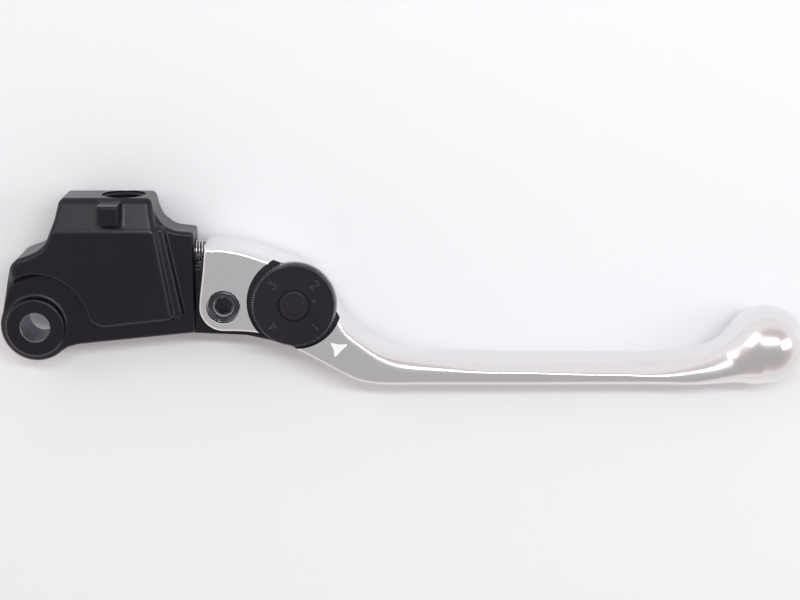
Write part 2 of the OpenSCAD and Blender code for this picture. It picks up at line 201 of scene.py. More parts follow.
def line_distance(x, y, line, closed):
    """Distance to a line in plan. It is negative inside a closed one, and to an open one's left."""
    shape = np.shape(x)
    qx, qy = np.ravel(x).astype(np.float32), np.ravel(y).astype(np.float32)
    a = np.array(line, np.float32)
    b = np.roll(a, -1, axis=0) if closed else a[1:]
    a = a if closed else a[:-1]
    best = np.full(len(qx), 1e9, np.float32)
    sign = np.ones(len(qx), np.float32)
    facing = np.zeros(len(qx), np.float32)
    winding = np.zeros(len(qx), np.int32)
    for (ax, ay), (bx, by) in zip(a, b):
        dx, dy = bx - ax, by - ay
        length = math.hypot(dx, dy)
        if length < 1e-6:
            continue
        rx, ry = qx - ax, qy - ay
        t = np.clip((rx * dx + ry * dy) / length ** 2, 0, 1)
        dist = (rx - t * dx) ** 2 + (ry - t * dy) ** 2
        cross = (dx * ry - dy * rx) / length
        if closed:
            winding += (ay <= qy) & (by > qy) & (cross > 0)
            winding -= (ay > qy) & (by <= qy) & (cross < 0)
            best = np.minimum(best, dist)
        else:
            # where two pieces share their nearest point, the one seen more squarely gives the side
            nearer = (dist < best - 1e-6) | ((dist < best + 1e-6) & (np.abs(cross) > facing))
            sign = np.where(nearer, np.sign(cross), sign)
            facing = np.where(nearer, np.abs(cross), facing)
            best = np.minimum(best, dist)
    far = np.sqrt(best).astype(float)
    return (np.where(winding != 0, -far, far) if closed else -far * sign).reshape(shape)


def plate(d, q, r):
    """Distance of a flat plate: d from its outline, q from its face, its edge rounded by r."""
    return np.minimum(np.maximum(d, q) + r, 0) + np.hypot(np.maximum(d + r, 0), np.maximum(q + r, 0)) - r


def surface_nets(plan, solid, low, high, step):
    """Mesh of solid(plan, x, y, z) < 0. plan(x, y) gives the distances that depend on the plan view
    alone; they are worked out once, on a grid of half the step, and read between its points."""
    low = np.array(low, float)
    ax = [low[i] + step * np.arange(int((high[i] - low[i]) / step) + 2) for i in range(3)]
    half = step / 2
    fine = [low[i] + half * np.arange(2 * len(ax[i]) - 1) for i in range(2)]
    maps = plan(*np.meshgrid(*fine, indexing="ij"))

    def read(x, y):
        u = np.clip((x - low[0]) / half, 0, len(fine[0]) - 1.001)
        v = np.clip((y - low[1]) / half, 0, len(fine[1]) - 1.001)
        i, j = u.astype(int), v.astype(int)
        u, v = u - i, v - j
        return [(m[i, j] * (1 - u) + m[i + 1, j] * u) * (1 - v)
                + (m[i, j + 1] * (1 - u) + m[i + 1, j + 1] * u) * v for m in maps]

    # a grid edge that crosses the surface gives a face between the four cells round it, and a
    # cell's point is the mean of the crossings on its edges
    gx, gy = np.meshgrid(ax[0], ax[1], indexing="ij")
    value = solid([m[::2, ::2, None] for m in maps], gx[..., None], gy[..., None], ax[2][None, None])
    n = value.shape
    ids, spots, quads = [], [], []
    for a in range(3):
        b, c = (a + 1) % 3, (a + 2) % 3
        one = np.moveaxis(value, a, 0)
        first, second = np.moveaxis(one[:-1], 0, a), np.moveaxis(one[1:], 0, a)
        at = np.argwhere((first < 0) != (second < 0))
        at = at[(at[:, b] > 0) & (at[:, c] > 0) & (at[:, b] < n[b] - 1) & (at[:, c] < n[c] - 1)]
        v0, v1 = first[tuple(at.T)], second[tuple(at.T)]
        spot = low + step * at
        spot[:, a] += step * v0 / (v0 - v1)
        four = []
        for ob, oc in ((-1, -1), (0, -1), (0, 0), (-1, 0)):
            cell = at.copy()
            cell[:, b] += ob
            cell[:, c] += oc
            four.append((cell[:, 0] * n[1] + cell[:, 1]) * n[2] + cell[:, 2])
        four = np.stack(four, 1)
        ids.append(four.ravel())
        spots.append(np.repeat(spot, 4, axis=0))
        quads.append(np.where((v0 < 0)[:, None], four, four[:, ::-1]))
    ids, spots, quads = np.concatenate(ids), np.concatenate(spots), np.concatenate(quads)
    used, index = np.unique(ids, return_inverse=True)
    count = np.bincount(index)
    verts = np.stack([np.bincount(index, spots[:, i]) / count for i in range(3)], 1)

    def at_points(p):
        return solid(read(p[:, 0], p[:, 1]), p[:, 0], p[:, 1], p[:, 2])

    # two Newton steps take the points onto the true surface
    probe = 0.02
    for _ in range(2):
        f = at_points(verts)
        g = np.stack([(at_points(verts + probe * e) - at_points(verts - probe * e)) / (2 * probe)
                      for e in np.eye(3)], 1)
        move = (f / np.maximum((g * g).sum(1), 1e-6))[:, None] * g
        size = np.linalg.norm(move, axis=1)[:, None]
        verts = verts - move * np.minimum(1, 0.4 * step / np.maximum(size, 1e-9))
    return verts, np.searchsorted(used, quads)


# ---------------------------------------------------------------- meshes


def make(name, verts, faces, angle=32):
    """A mesh object from millimetre points. Edges sharper than the angle stay crisp."""
    mesh = bpy.data.meshes.new(name)
    mesh.from_pydata((np.asarray(verts, float) * MM).tolist(), [], [list(map(int, f)) for f in faces])
    mesh.validate()
    mesh.update()
    obj = bpy.data.objects.new(name, mesh)
    bpy.context.scene.collection.objects.link(obj)
    crisp(obj, angle)
    return obj


def crisp(obj, angle=36):
    """Smooth shading, with the edges sharper than the angle kept crisp."""
    obj.data.shade_smooth()
    obj.data.set_sharp_from_angle(angle=math.radians(angle))


def baked(obj):
    """Applies the object's modifiers."""
    graph = bpy.context.evaluated_depsgraph_get()
    mesh = bpy.data.meshes.new_from_object(obj.evaluated_get(graph))
    obj.modifiers.clear()
    old, obj.data = obj.data, mesh
    bpy.data.meshes.remove(old)
    mesh.name = obj.name


def cut(obj, cutters, operation="DIFFERENCE", look=None):
    """Cuts the objects away, or adds them. With a look, the faces they leave get that material."""
    for cutter in cutters:
        if look:
            cutter.data.materials.append(LOOKS[look])
        m = obj.modifiers.new("cut", "BOOLEAN")
        m.operation, m.object, m.solver = operation, cutter, "MANIFOLD"
        m.material_mode = "TRANSFER"
        baked(obj)
    for cutter in cutters:
        old = cutter.data
        bpy.data.objects.remove(cutter)
        bpy.data.meshes.remove(old)
    crisp(obj)
    return obj


def lathe(name, profile, at=(0, 0, 0), axis="z", sides=96, phase=0.0):
    """A solid turned from (radius, height) points, listed from the bottom of the axis to its top."""
    verts, rings = [], []
    for r, z in profile:
        if r < 1e-6:
            rings.append([len(verts)])
            verts.append((0, 0, z))
            continue
        rings.append(list(range(len(verts), len(verts) + sides)))
        verts += [(r * math.cos(2 * math.pi * (k + phase) / sides),
                   r * math.sin(2 * math.pi * (k + phase) / sides), z) for k in range(sides)]
    faces = []
    closed = profile[0][0] > 1e-6
    pairs = list(zip(rings, rings[1:])) + ([(rings[-1], rings[0])] if closed else [])
    for low, up in pairs:
        for k in range(sides):
            j = (k + 1) % sides
            if len(low) == 1 and len(up) == 1:
                continue
            if len(low) == 1:
                faces.append((low[0], up[j], up[k]))
            elif len(up) == 1:
                faces.append((low[k], low[j], up[0]))
            else:
                faces.append((low[k], low[j], up[j], up[k]))
    v = np.array(verts)
    if axis == "x":
        v = v[:, [2, 0, 1]]
    if axis == "y":
        v = v[:, [1, 2, 0]]
    return make(name, v + np.array(at, float), faces)


def rod(r, z0, z1, at=(0, 0, 0), axis="z", sides=96, chamfer=0.0):
    """A plain round cutter. A chamfer widens its upper end, which then runs on past z1."""
    profile = [(0, z0), (r, z0), (r, z1)]
    if chamfer:
        wide = r + chamfer
        profile = [(0, z0), (r, z0), (r, z1 - chamfer), (wide, z1), (wide, z1 + 6)]
    profile.append((0, profile[-1][1]))
    return lathe("cutter", profile, at, axis, sides)


def prism(name, outline, z0, z1):
    """An outline in plan, raised from z0 to z1."""
    n = len(outline)
    area = sum(outline[i - 1][0] * outline[i][1] - outline[i][0] * outline[i - 1][1] for i in range(n))
    outline = list(outline) if area > 0 else list(outline)[::-1]
    verts = [(p[0], p[1], z0) for p in outline] + [(p[0], p[1], z1) for p in outline]
    faces = [tuple(range(n))[::-1], tuple(range(n, 2 * n))]
    faces += [(i, (i + 1) % n, n + (i + 1) % n, n + i) for i in range(n)]
    return make(name, verts, faces)


def tube(name, path, radius, sides=12):
    """A round wire along a path, with domed ends."""
    p = np.array(path, float)
    t = np.gradient(p, axis=0)
    t /= np.linalg.norm(t, axis=1)[:, None]
    up = np.array([0.0, 0.0, 1.0]) if abs(t[0][2]) < 0.9 else np.array([1.0, 0.0, 0.0])
    u = np.cross(t[0], up)
    u /= np.linalg.norm(u)
    rings, verts = [], []
    for i in range(len(p)):
        u = u - t[i] * (u @ t[i])
        u /= np.linalg.norm(u)
        w = np.cross(t[i], u)
        for k in range(sides):
            a = 2 * math.pi * k / sides
            verts.append(p[i] + radius * (math.cos(a) * u + math.sin(a) * w))
        rings.append(list(range(i * sides, (i + 1) * sides)))
    faces = [(a[k], a[(k + 1) % sides], b[(k + 1) % sides], b[k])
             for a, b in zip(rings, rings[1:]) for k in range(sides)]
    ends = ((rings[0], p[0] - t[0] * radius * 0.5, True), (rings[-1], p[-1] + t[-1] * radius * 0.5, False))
    for ring, tip, first in ends:
        verts.append(tip)
        for k in range(sides):
            a, b = ring[k], ring[(k + 1) % sides]
            faces.append((len(verts) - 1, b, a) if first else (len(verts) - 1, a, b))
    return make(name, verts, faces, angle=60)


# ---------------------------------------------------------------- the lever


def lever_plan():
    """The lever's far and near edges in plan, the far one left to right, the near one from the heel."""
    far = spline([
        (40.8, 19.75), (43.5, 19.9), (46, 19.8), (50.5, 18.9), (55.7, 17.2), (60.3, 15.5), (64.5, 13.6),
        (67.9, 11.0), (70.3, 7.8), (72.4, 4.2), (74.7, 0.6), (76.5, -1.2), (78.6, -2.7), (83.3, -5.3),
        (89.4, -6.8), (96, -7.15), (110, -7.2), (125, -7.2), (140, -7.2), (152, -7.15), (157, -6.8),
        (161.2, -5.95), (164.8, -4.3), (167.6, -2.4), (170.5, -0.6), (176, 1.5)])
    far = np.vstack([[(30, 19.4)], far, [(200, 6)]])
    heel = [polar(HINGE, HEEL_R, math.radians(a)) for a in range(175, 271, 8)]
    near = spline([(40.6, 19.0), (40.15, 14), (39.65, 9.5)] + heel + [
        (50, -0.8), (54, -1.3), (59, -3.3), (64, -5.9), (68.1, -8.1), (73.4, -11.1), (77.3, -13),
        (82.1, -14.1), (92.3, -14.5), (111.7, -14.65), (135, -14.6), (157, -14.6), (170, -14.7),
        (178, -14.4)])
    near = np.vstack([[(41.4, 40)], near, [(200, -14)]])
    return far, near


FAR, NEAR = lever_plan()
SLOT = filleted([
    (30, -14, 0), (30, 15, 0), (49, 15, 2), (53, 12, 2), (56.5, 9, 2), (67.6, 3, 1), (67.6, -14, 0)], 1)


def lever_at(x, y):
    """How far inward a point in plan is from the far edge, and from the near one."""
    return [line_distance(x, y, FAR, False), -line_distance(x, y, NEAR, False)]


def side(inward, height, extent, drop, n):
    """A rounded side: extent wide in plan and drop high, the power n sets how full it is."""
    p = np.maximum((extent - inward) / extent, 0)
    q = np.maximum(height / drop + 1, 0)
    return ((p ** n + q ** n) ** (1 / n) - 1) * np.minimum(extent, drop)


def lever_solid(plan, x, y, z):
    """The lever. Each list of (X, value) knots says how a size changes from the heel to the ball."""
    below_far, above_near = plan
    top = CLEVIS_TOP - (CLEVIS_TOP - BLADE_TOP) * ease(72, 104, x) + BALL_RISE * ease(144, 174, x)
    # the blade's faces are crowned between its ends
    crown = through(x, [(92, 0.01), (112, 1.0), (146, 1.0), (172, 0.01)])
    height = np.sqrt(z * z + crown * crown) - top - crown * crown / (2 * top)
    far_wide = through(x, [
        (62, 1.5), (76, 2.8), (88, 4.6), (100, 4.3), (112, 4.2), (136, 4.7), (157, 5.3), (174, 9)])
    far_high = through(x, [(62, 1.9), (76, 2.8), (88, 4.6), (99, 6.3), (160, 6.4), (174, 8)])
    far_power = through(x, [(90, 2.0), (112, 1.18), (144, 1.18), (172, 2.0)])
    near_wide = through(x, [(54, 1.2), (68, 1.2), (92, 2.0), (156, 2.2), (174, 6)])
    near_high = through(x, [(54, 1.2), (68, 1.2), (92, 2.0), (156, 2.2), (174, 7.4)])
    # the heel's left face is rounded more than the ears' edges
    heel_face = 0.5 * ease(3, 16, y) * ease(47, 43, x)
    f = smax(side(below_far, height, far_wide, far_high, far_power),
             side(above_near, height, near_wide + heel_face, near_high + heel_face, 2.0), 0.5)
    f = smax(f, x - BLADE_END, 1)
    ball = np.sqrt((x - BALL[0]) ** 2 + (y - BALL[1]) ** 2 + z ** 2) - BALL_R
    return smin(f, ball, 3.0)


def hexagon(radius):
    """The corners of the hinge nut, or of the room it sits in."""
    return [polar(HINGE, radius, math.radians(60 * k)) for k in range(6)]


def build_lever():
    verts, faces = surface_nets(lever_at, lever_solid, (38, -18, -11), (188, 22, 11), GRID)
    lever = make("lever", verts, faces)
    lever.data.materials.append(LOOKS["satin_aluminium"])
    spring_at = (0, SPRING_Y, 0)
    cut(lever, [rod(SPRING_BORE_R, 30, SPRING_END + 0.05, spring_at, "x")])
    peg = lathe("cutter", [(0, SPRING_END - 1.2), (1.1, SPRING_END - 1.2), (PEG_R, SPRING_END - 0.9),
                           (PEG_R, SPRING_END + 1), (0, SPRING_END + 1)], spring_at, "x")
    cut(lever, [peg], "UNION")
    detent_at = (*polar(DIAL, STOP_AT, math.radians(FIRST_STOP)), 0)
    cutters = [
        # the slot, and the room of the cam within it
        prism("cutter", SLOT, -SLOT_HALF, SLOT_HALF),
        rod(CAM_ROOM_R, 0.01 - SLOT_HALF, SLOT_HALF - 0.01, DIAL_AT),
        # the dial's shaft, its thinner tail and its clip
        rod(SHAFT_BORE_R, 0, 6.7, DIAL_AT),
        rod(TAIL_BORE_R, -PAST, 2, DIAL_AT),
        rod(CLIP_ROOM_R, -PAST, -CLIP_SEAT, DIAL_AT),
        # the hinge screw, its head and its nut
        rod(HINGE_BORE_R, -PAST, PAST, HINGE_AT),
        rod(HEAD_BORE_R, HEAD_SEAT, CLEVIS_TOP + 0.02, HINGE_AT, chamfer=0.25),
        prism("cutter", hexagon(NUT_ROOM_R), -PAST, -NUT_SEAT),
        # the detent ball and its spring
        rod(DETENT_BORE_R, 1.5, 7, detent_at, sides=32),
    ]
    cut(lever, cutters)
    # the faces of the dial's recess take the dark look, which paints the shade that falls in it
    return cut(lever, [rod(RECESS_R, RECESS_FLOOR, PAST, DIAL_AT, sides=192)], look="painted_recess_shade")


# ---------------------------------------------------------------- the adapter

# (x, y, radius) of the outlines' corners. The plate and the raised housing share their far side.
FAR_SIDE = [
    (28.6, 30.6, 2), (27.8, FACE_Y, 0.8), (7.6, FACE_Y, 1), (6.7, 30.4, 2), (5.6, 26, 9), (4.6, 23.4, 9),
    (3.5, 20.7, 9), (1.5, 18.9, 9), (-0.9, 17.8, 9)]
ADAPTER = filleted([
    (5.6, -6.5, 2), (7.4, -5.3, 4), (10, -4.6, 6), (ADAPTER_RIGHT, -1.7, 1), (ADAPTER_RIGHT, 22.8, 0.8),
    (33.4, 23.3, 6), (30.6, 25.2, 6), (29.1, 28, 6)] + FAR_SIDE + [
    (-3.5, 16.9, 3), (-5, 15.4, 3), (-5.8, 13, 6), (-7.3, 6.6, 20), (-8.6, 0, 9)], 2)
HOUSING = filleted([
    (11, 3, 0), (14.4, 0.9, 2), (16.4, 0.2, 1.5), (32.6, 2, 0.8), (33.3, 3, 0.5), (28.9, 28.4, 2)]
    + FAR_SIDE + [(-3.4, 16.8, 3), (-4.8, 14.6, 3), (-4, 11, 0)], 2)
STEP = filleted([(28, 24.9), (31.4, 24.4), (35.6, 3.4), (35, 2.3), (30, 1.8)], 0.7)
TONGUE = filleted([
    (34.3, -2, 0), (50.5, -2.7, 9), (55, -3.7, 9), (60, -5, 9), (66.2, -5.3, 1), (67, -4.4, 0.6),
    (67, PAD_Y, 0.5), (54.6, PAD_Y, 0.5), (50.4, 3, 4), (50, 8.6, 4), (47.5, 12.3, 2), (43.5, 14, 2),
    (34.3, 14, 0)], 1)


def adapter_at(x, y):
    """How far a point in plan is outside each of the adapter's four outlines."""
    return [line_distance(x, y, o, True) for o in (ADAPTER, HOUSING, STEP, TONGUE)]


def adapter_solid(plan, x, y, z):
    """The adapter. Apart from the lug, its lower half mirrors the upper one."""
    outline, housing, step, tongue = plan
    height = np.abs(z)
    radius = np.hypot(x, y)
    slope = FACET_DROP / (FACE_Y - FACET_Y)
    top = HOUSING_TOP - slope * (y - FACET_Y) * ease(FACET_Y - 1.2, FACET_Y + 1.2, y)
    edge = np.minimum(outline, radius - LOBE_R)
    base = plate(edge, height - PLATE_TOP, 1.0)
    raised = plate(smax(housing, FLOOR_R - radius, 0.8), height - top, 1.4)
    f = smin(base, raised, through(x, [(-5, 5.0), (4, 1.0)]))
    f = smin(f, plate(np.maximum(step, FLOOR_R - radius), height - np.minimum(top, STEP_TOP), 1.1), 1.0)
    # the blends don't bulge past the outline
    f = np.maximum(f, plate(edge, height - top, 1.0))
    boss = plate(radius - BOSS_R, height - BOSS_TOP, 0.6)
    f = smin(f, boss, 1.4)
    lug_edge = np.maximum(np.abs(x - LUG[0]) - LUG_HALF[0], np.abs(y - LUG[1]) - LUG_HALF[1])
    f = smin(f, plate(lug_edge, np.maximum(z - LUG_TOP, 2 - z), 0.6), 1.0)
    eye = np.hypot(x - HINGE[0], y - HINGE[1]) - EYE_R
    return smin(f, plate(np.minimum(tongue, eye), height - TONGUE_HALF, 0.5), 0.3)


def build_adapter():
    verts, faces = surface_nets(adapter_at, adapter_solid, (-9.5, -9.5, -9.2), (68, 32.5, 13), GRID)
    adapter = make("adapter", verts, faces)
    adapter.data.materials.append(LOOKS["adapter_black"])
    rod_at = (ROD_X, FACE_Y, 0)
    lower_mouth = [(0, -16), (4.32, -16), (4.32, -BOSS_TOP), (LINER_R, -6.68), (0, -6.68)]
    pad_seat = [(55.2, PAD_Y), (66.2, PAD_Y), (66.2, 5), (55.2, 5)]
    cutters = [
        # the liner's hole. Its upper mouth closes over the liner's end, its lower one is open to it
        rod(LINER_R, -PAST, LINER_TOP + 0.02),
        rod(BORE_R + 0.06, 6, BOSS_TOP, chamfer=0.15),
        lathe("cutter", lower_mouth),
        # the push rod's bore, and the seat of its cup
        rod(ROD_R, -ROD_DEPTH, -0.45, rod_at, "y", chamfer=0.45),
        rod(CUP_R, -ROD_DEPTH - CUP_DEPTH, -ROD_DEPTH + 1, rod_at, "y"),
        # the spring's bore, the hinge bush's hole and the cam pad's seat
        rod(SPRING_BORE_R, ADAPTER_RIGHT - SEAT, ADAPTER_RIGHT + 5, (0, SPRING_Y, 0), "x"),
        rod(BUSH_R, -PAST, PAST, HINGE_AT),
        prism("cutter", pad_seat, -5, 5),
    ]
    return cut(adapter, cutters)


# ---------------------------------------------------------------- hinge screw, nut, liner, mark, spring


def build_screw():
    """The hinge screw. Its lobed socket stands in a shallow funnel in the head."""
    screw = lathe("hinge_screw_visual", [
        (0, -7.6), (2.1, -7.6), (2.45, -7.25), (2.45, -4.9), (2.96, -4.85), (2.98, 4.85), (2.9, 5.0),
        (3.72, 5.0), (3.76, 5.1), (3.76, 6.1), (3.66, 6.26), (3.45, 6.38), (2.95, 6.46), (2.85, 6.58),
        (2.6, 6.62), (0, 6.62)], HINGE_AT)
    lobes = []
    steps = 120
    for k in range(steps):
        a = 2 * math.pi * k / steps
        r = SOCKET_R + 0.22 * math.cos(6 * a) + 0.04 * math.cos(12 * a)
        lobes.append(polar(HINGE, r, a + 0.2))
    screw.data.materials.append(LOOKS["dark_steel"])
    # the funnel's faces take the paler steel, which paints the bright ring that a highlight makes round the
    # socket
    funnel = lathe("cutter", [(0, 6.38), (2.28, 6.38), (2.52, 6.64), (2.52, 8), (0, 8)], HINGE_AT)
    cut(screw, [funnel], look="plain_steel")
    cut(screw, [rod(2.26, 6.3, 7, HINGE_AT)], look="dark_steel")
    # the socket's faces take the dark look, which paints the shade inside it
    socket = [prism("cutter", lobes, 3.8, 9), rod(0.9, 3.5, 4.2, HINGE_AT, sides=32)]
    return cut(screw, socket, look="painted_recess_shade")


def build_nut():
    """The hinge nut: a hexagon with its lower corners turned off, and a chamfered hole."""
    low, high = -7.7, -4.92
    nut = prism("hinge_nut_visual", hexagon(NUT_R), low, high)
    turned = lathe("cutter", [(0, low), (4.05, low), (4.7, -7.35), (4.7, high), (0, high)], HINGE_AT)
    cut(nut, [turned], "INTERSECT")
    hole = [(0, -9), (2.85, -9), (2.85, low), (2.5, -7.35), (2.5, -4), (0, -4)]
    return cut(nut, [lathe("cutter", hole, HINGE_AT)])


def build_liner():
    """The pivot bore's liner, with a small lead-in at both mouths."""
    r_in, r_out, top = BORE_R, LINER_R - 0.01, LINER_TOP
    return lathe("pivot_liner", [
        (r_in, -top + 0.2), (r_in + 0.2, -top), (r_out - 0.04, -top), (r_out, -top + 0.04),
        (r_out, top - 0.04), (r_out - 0.04, top), (r_in + 0.2, top), (r_in, top - 0.2)], sides=128)


def build_mark():
    """The index mark, a thin plate that stands 0.03 mm proud of the ear."""
    outline = filleted([
        (70.7, -3.3), (72.8, -3.9), (75.1, -3.8), (73.4, -5.3), (71.8, -7.1), (71.5, -5.0)], 0.2)
    return prism("index_mark_visual", outline, CLEVIS_TOP - 0.28, CLEVIS_TOP + 0.03)


def build_spring():
    """The take-up spring, with closed end coils and open ones between."""
    start, end = ADAPTER_RIGHT - SEAT, SPRING_END
    mean_r = (SPRING_D - WIRE) / 2
    length = end - start - WIRE
    steps = COILS * 28
    path = []
    for k in range(steps + 1):
        s = k / steps
        x = start + WIRE / 2 + length * (s + 0.018 * math.sin(2 * math.pi * s))
        a = 2 * math.pi * COILS * s
        path.append((x, SPRING_Y + mean_r * math.cos(a), mean_r * math.sin(a)))
    return tube("take_up_spring", path, WIRE / 2, sides=10)


# ---------------------------------------------------------------- the dial


def knurled_body():
    """The dial's outside: rings of points whose radius waves in and out, joined by side faces."""
    teeth, per_tooth = 96, 8
    n = teeth * per_tooth
    ang = 2 * np.pi * np.arange(n) / n
    wave = (0.5 - 0.5 * np.cos(teeth * ang)) ** 0.8
    # (height, radius at the tips, depth of the teeth)
    rings = [
        (DIAL_Z, 9.55, 0.0), (7.0, 9.95, 0.2), (7.25, 10.15, 0.5), (10.3, 10.15, 0.5), (10.65, 10.05, 0.5),
        (10.92, 9.86, 0.36), (11.08, 9.66, 0.18), (11.15, 9.5, 0.0), (11.15, 9.2, 0.0), (11.08, 9.1, 0.0)]
    knurled_bands = range(1, 6)
    verts, faces = [], []
    for z, r, depth in rings:
        rr = r - depth * wave
        verts += list(zip(DIAL[0] + rr * np.cos(ang), DIAL[1] + rr * np.sin(ang), np.full(n, z)))
    for i in range(len(rings) - 1):
        for k in range(n):
            j = (k + 1) % n
            faces.append((i * n + k, i * n + j, (i + 1) * n + j, (i + 1) * n + k))
    faces.append(tuple(range(n))[::-1])
    faces.append(tuple(range((len(rings) - 1) * n, len(rings) * n)))
    body = make("dial", verts, faces)
    body.data.materials.append(LOOKS["dial_black"])
    body.data.materials.append(LOOKS["knurl_black"])
    for polygon in body.data.polygons:
        if polygon.index // n in knurled_bands:
            polygon.material_index = 1
    return body


def build_dial():
    """The dial, with its cap's seat on top, the shaft's flatted hole, and the four stops below."""
    cap_seat = [(0, 9.2), (3.63, 9.2), (3.63, 10.9), (3.8, 11.1), (3.8, 14), (0, 14)]
    half_groove, groove_top = 1.05, 7.2
    stop_groove = [(STOP_AT - half_groove, 5), (STOP_AT + half_groove, 5),
                   (STOP_AT + half_groove, groove_top), (STOP_AT - half_groove, groove_top)]
    body = knurled_body()
    cutters = [
        lathe("cutter", cap_seat, DIAL_AT, sides=128),
        flatted(FLATTED_R, FLATS, 5, 10),
        lathe("cutter", stop_groove, DIAL_AT),
    ]
    for k in range(4):
        stop = polar(DIAL, STOP_AT, math.radians(FIRST_STOP + 90 * k))
        cutters.append(rod(STOP_R, 5, 7.5, (*stop, 0), sides=24))
    return cut(body, cutters)


def flatted(r, across, z0, z1):
    """A round bar with two flats, on the dial's axis."""
    edge = math.acos(across / 2 / r)
    pts = [polar(DIAL, r, base + t) for base in (0, math.pi) for t in np.linspace(edge, math.pi - edge, 24)]
    return prism("cutter", pts, z0, z1)


# the numerals' strokes, on a cell 0.62 wide and 1 high
STROKES = {
    1: [[(0.22, 0.78), (0.36, 1.0), (0.36, 0.0)]],
    2: [[(0.02, 0.8), (0.1, 0.96), (0.3, 1.0), (0.52, 0.92), (0.58, 0.74), (0.46, 0.5), (0.0, 0.0),
         (0.6, 0.0)]],
    3: [[(0.04, 0.95), (0.55, 0.95), (0.26, 0.6), (0.5, 0.5), (0.58, 0.28), (0.42, 0.04), (0.16, 0.0),
         (0.0, 0.14)]],
    4: [[(0.45, 0.0), (0.45, 1.0), (0.0, 0.3), (0.62, 0.3)]],
}


def stroke_cutter(p, q):
    """A round-ended groove from p to q in the dial's face."""
    p, q = np.array(p), np.array(q)
    d = (q - p) / np.linalg.norm(q - p)
    along = math.atan2(d[1], d[0])
    outline = []
    for centre, start in ((q, along - math.pi / 2), (p, along + math.pi / 2)):
        for k in range(7):
            t = start + math.pi * k / 6
            outline.append(tuple(centre + STROKE_HALF * np.array([math.cos(t), math.sin(t)])))
    return prism("cutter", outline, STROKE_FLOOR, 11.6)


def build_numerals(dial):
    """Four plain numerals and a small arrow, engraved in the dial's face."""
    lines = []
    for i in range(4):
        a = math.radians(-45 + 90 * i)
        for stroke in STROKES[i + 1]:
            pts = []
            for u, v in stroke:
                across, out = (u - 0.31) * NUMERAL_SIZE, NUMERAL_AT + (v - 0.5) * NUMERAL_SIZE
                pts.append((DIAL[0] + out * math.cos(a) + across * math.sin(a),
                            DIAL[1] + out * math.sin(a) - across * math.cos(a)))
            lines.append(pts)
    arrow, tip, back, spread = math.radians(14), 4.6, 5.5, 0.09
    for side_sign in (-1, 1):
        lines.append([polar(DIAL, tip, arrow), polar(DIAL, back, arrow + spread * side_sign)])
    cutters = [stroke_cutter(p, q) for pts in lines for p, q in zip(pts, pts[1:])]
    cut(dial, cutters, look="numeral_grey")
    crisp(dial, 25)
    return dial


def build_cap():
    """Plain cap in the dial's middle, with a fine ring."""
    return lathe("dial_cap_disc", [
        (0, 10.6), (3.5, 10.6), (3.58, 10.7), (3.58, 11.02), (3.46, 11.16), (3.2, 11.22), (2.75, 11.24),
        (2.6, 11.12), (2.4, 11.12), (2.25, 11.24), (1.4, 11.27), (0, 11.28)], DIAL_AT, sides=128)


# ---------------------------------------------------------------- materials


def shader(name, base, rough, metallic=0.0, grain=(6000, 0.02), tint=0.06, spread=0.05,
           scratches=0.0, **fixed):
    """A surface with slow and fine changes of colour and gloss. The grain is a bump's scale and its
    depth in millimetres, and scratches is the depth of a second bump, drawn out along X."""
    mat = bpy.data.materials.new(name)
    mat.use_nodes = True
    nt = mat.node_tree
    node, link = nt.nodes.new, nt.links.new
    bsdf = nt.nodes["Principled BSDF"]
    bsdf.inputs["Metallic"].default_value = metallic
    for key, value in fixed.items():
        bsdf.inputs[key.replace("_", " ")].default_value = value
    at = node("ShaderNodeTexCoord").outputs["Object"]

    def noise(scale, detail, roughness=0.6, stretch=None):
        where = at
        if stretch:
            m = node("ShaderNodeMapping")
            m.inputs["Scale"].default_value = stretch
            link(at, m.inputs["Vector"])
            where = m.outputs["Vector"]
        t = node("ShaderNodeTexNoise")
        t.inputs["Scale"].default_value = scale
        t.inputs["Detail"].default_value = detail
        t.inputs["Roughness"].default_value = roughness
        link(where, t.inputs["Vector"])
        return t.outputs["Fac"]

    def ranged(value, low, high, out_low, out_high):
        m = node("ShaderNodeMapRange")
        for key, v in (("From Min", low), ("From Max", high), ("To Min", out_low), ("To Max", out_high)):
            m.inputs[key].default_value = v
        link(value, m.inputs["Value"])
        return m.outputs["Result"]

    slow = noise(60, 3)
    fine = noise(1500, 4)
    ramp = node("ShaderNodeValToRGB")
    ramp.color_ramp.elements[0].position = 0.3
    ramp.color_ramp.elements[1].position = 0.7
    ramp.color_ramp.elements[0].color = (*[c * (1 - tint) for c in base], 1)
    ramp.color_ramp.elements[1].color = (*[min(1, c * (1 + tint)) for c in base], 1)
    mixed = node("ShaderNodeMath")
    mixed.operation = "MULTIPLY_ADD"
    link(fine, mixed.inputs[0])
    mixed.inputs[1].default_value = 0.5
    half = node("ShaderNodeMath")
    half.operation = "MULTIPLY"
    half.inputs[1].default_value = 0.5
    link(slow, half.inputs[0])
    link(half.outputs[0], mixed.inputs[2])
    link(mixed.outputs[0], ramp.inputs["Fac"])
    link(ramp.outputs["Color"], bsdf.inputs["Base Color"])
    link(ranged(mixed.outputs[0], 0.35, 0.65, rough - spread, rough + spread), bsdf.inputs["Roughness"])
    scale, depth = grain
    bump = node("ShaderNodeBump")
    bump.inputs["Strength"].default_value = 1.0
    bump.inputs["Distance"].default_value = depth * MM
    link(noise(scale, 5, 0.65), bump.inputs["Height"])
    link(bump.outputs["Normal"], bsdf.inputs["Normal"])
    if scratches:
        second = node("ShaderNodeBump")
        second.inputs["Strength"].default_value = 1.0
        second.inputs["Distance"].default_value = scratches * MM
        link(noise(500, 6, 0.7, (0.25, 4, 4)), second.inputs["Height"])
        link(bump.outputs["Normal"], second.inputs["Normal"])
        link(second.outputs["Normal"], bsdf.inputs["Normal"])
    return mat


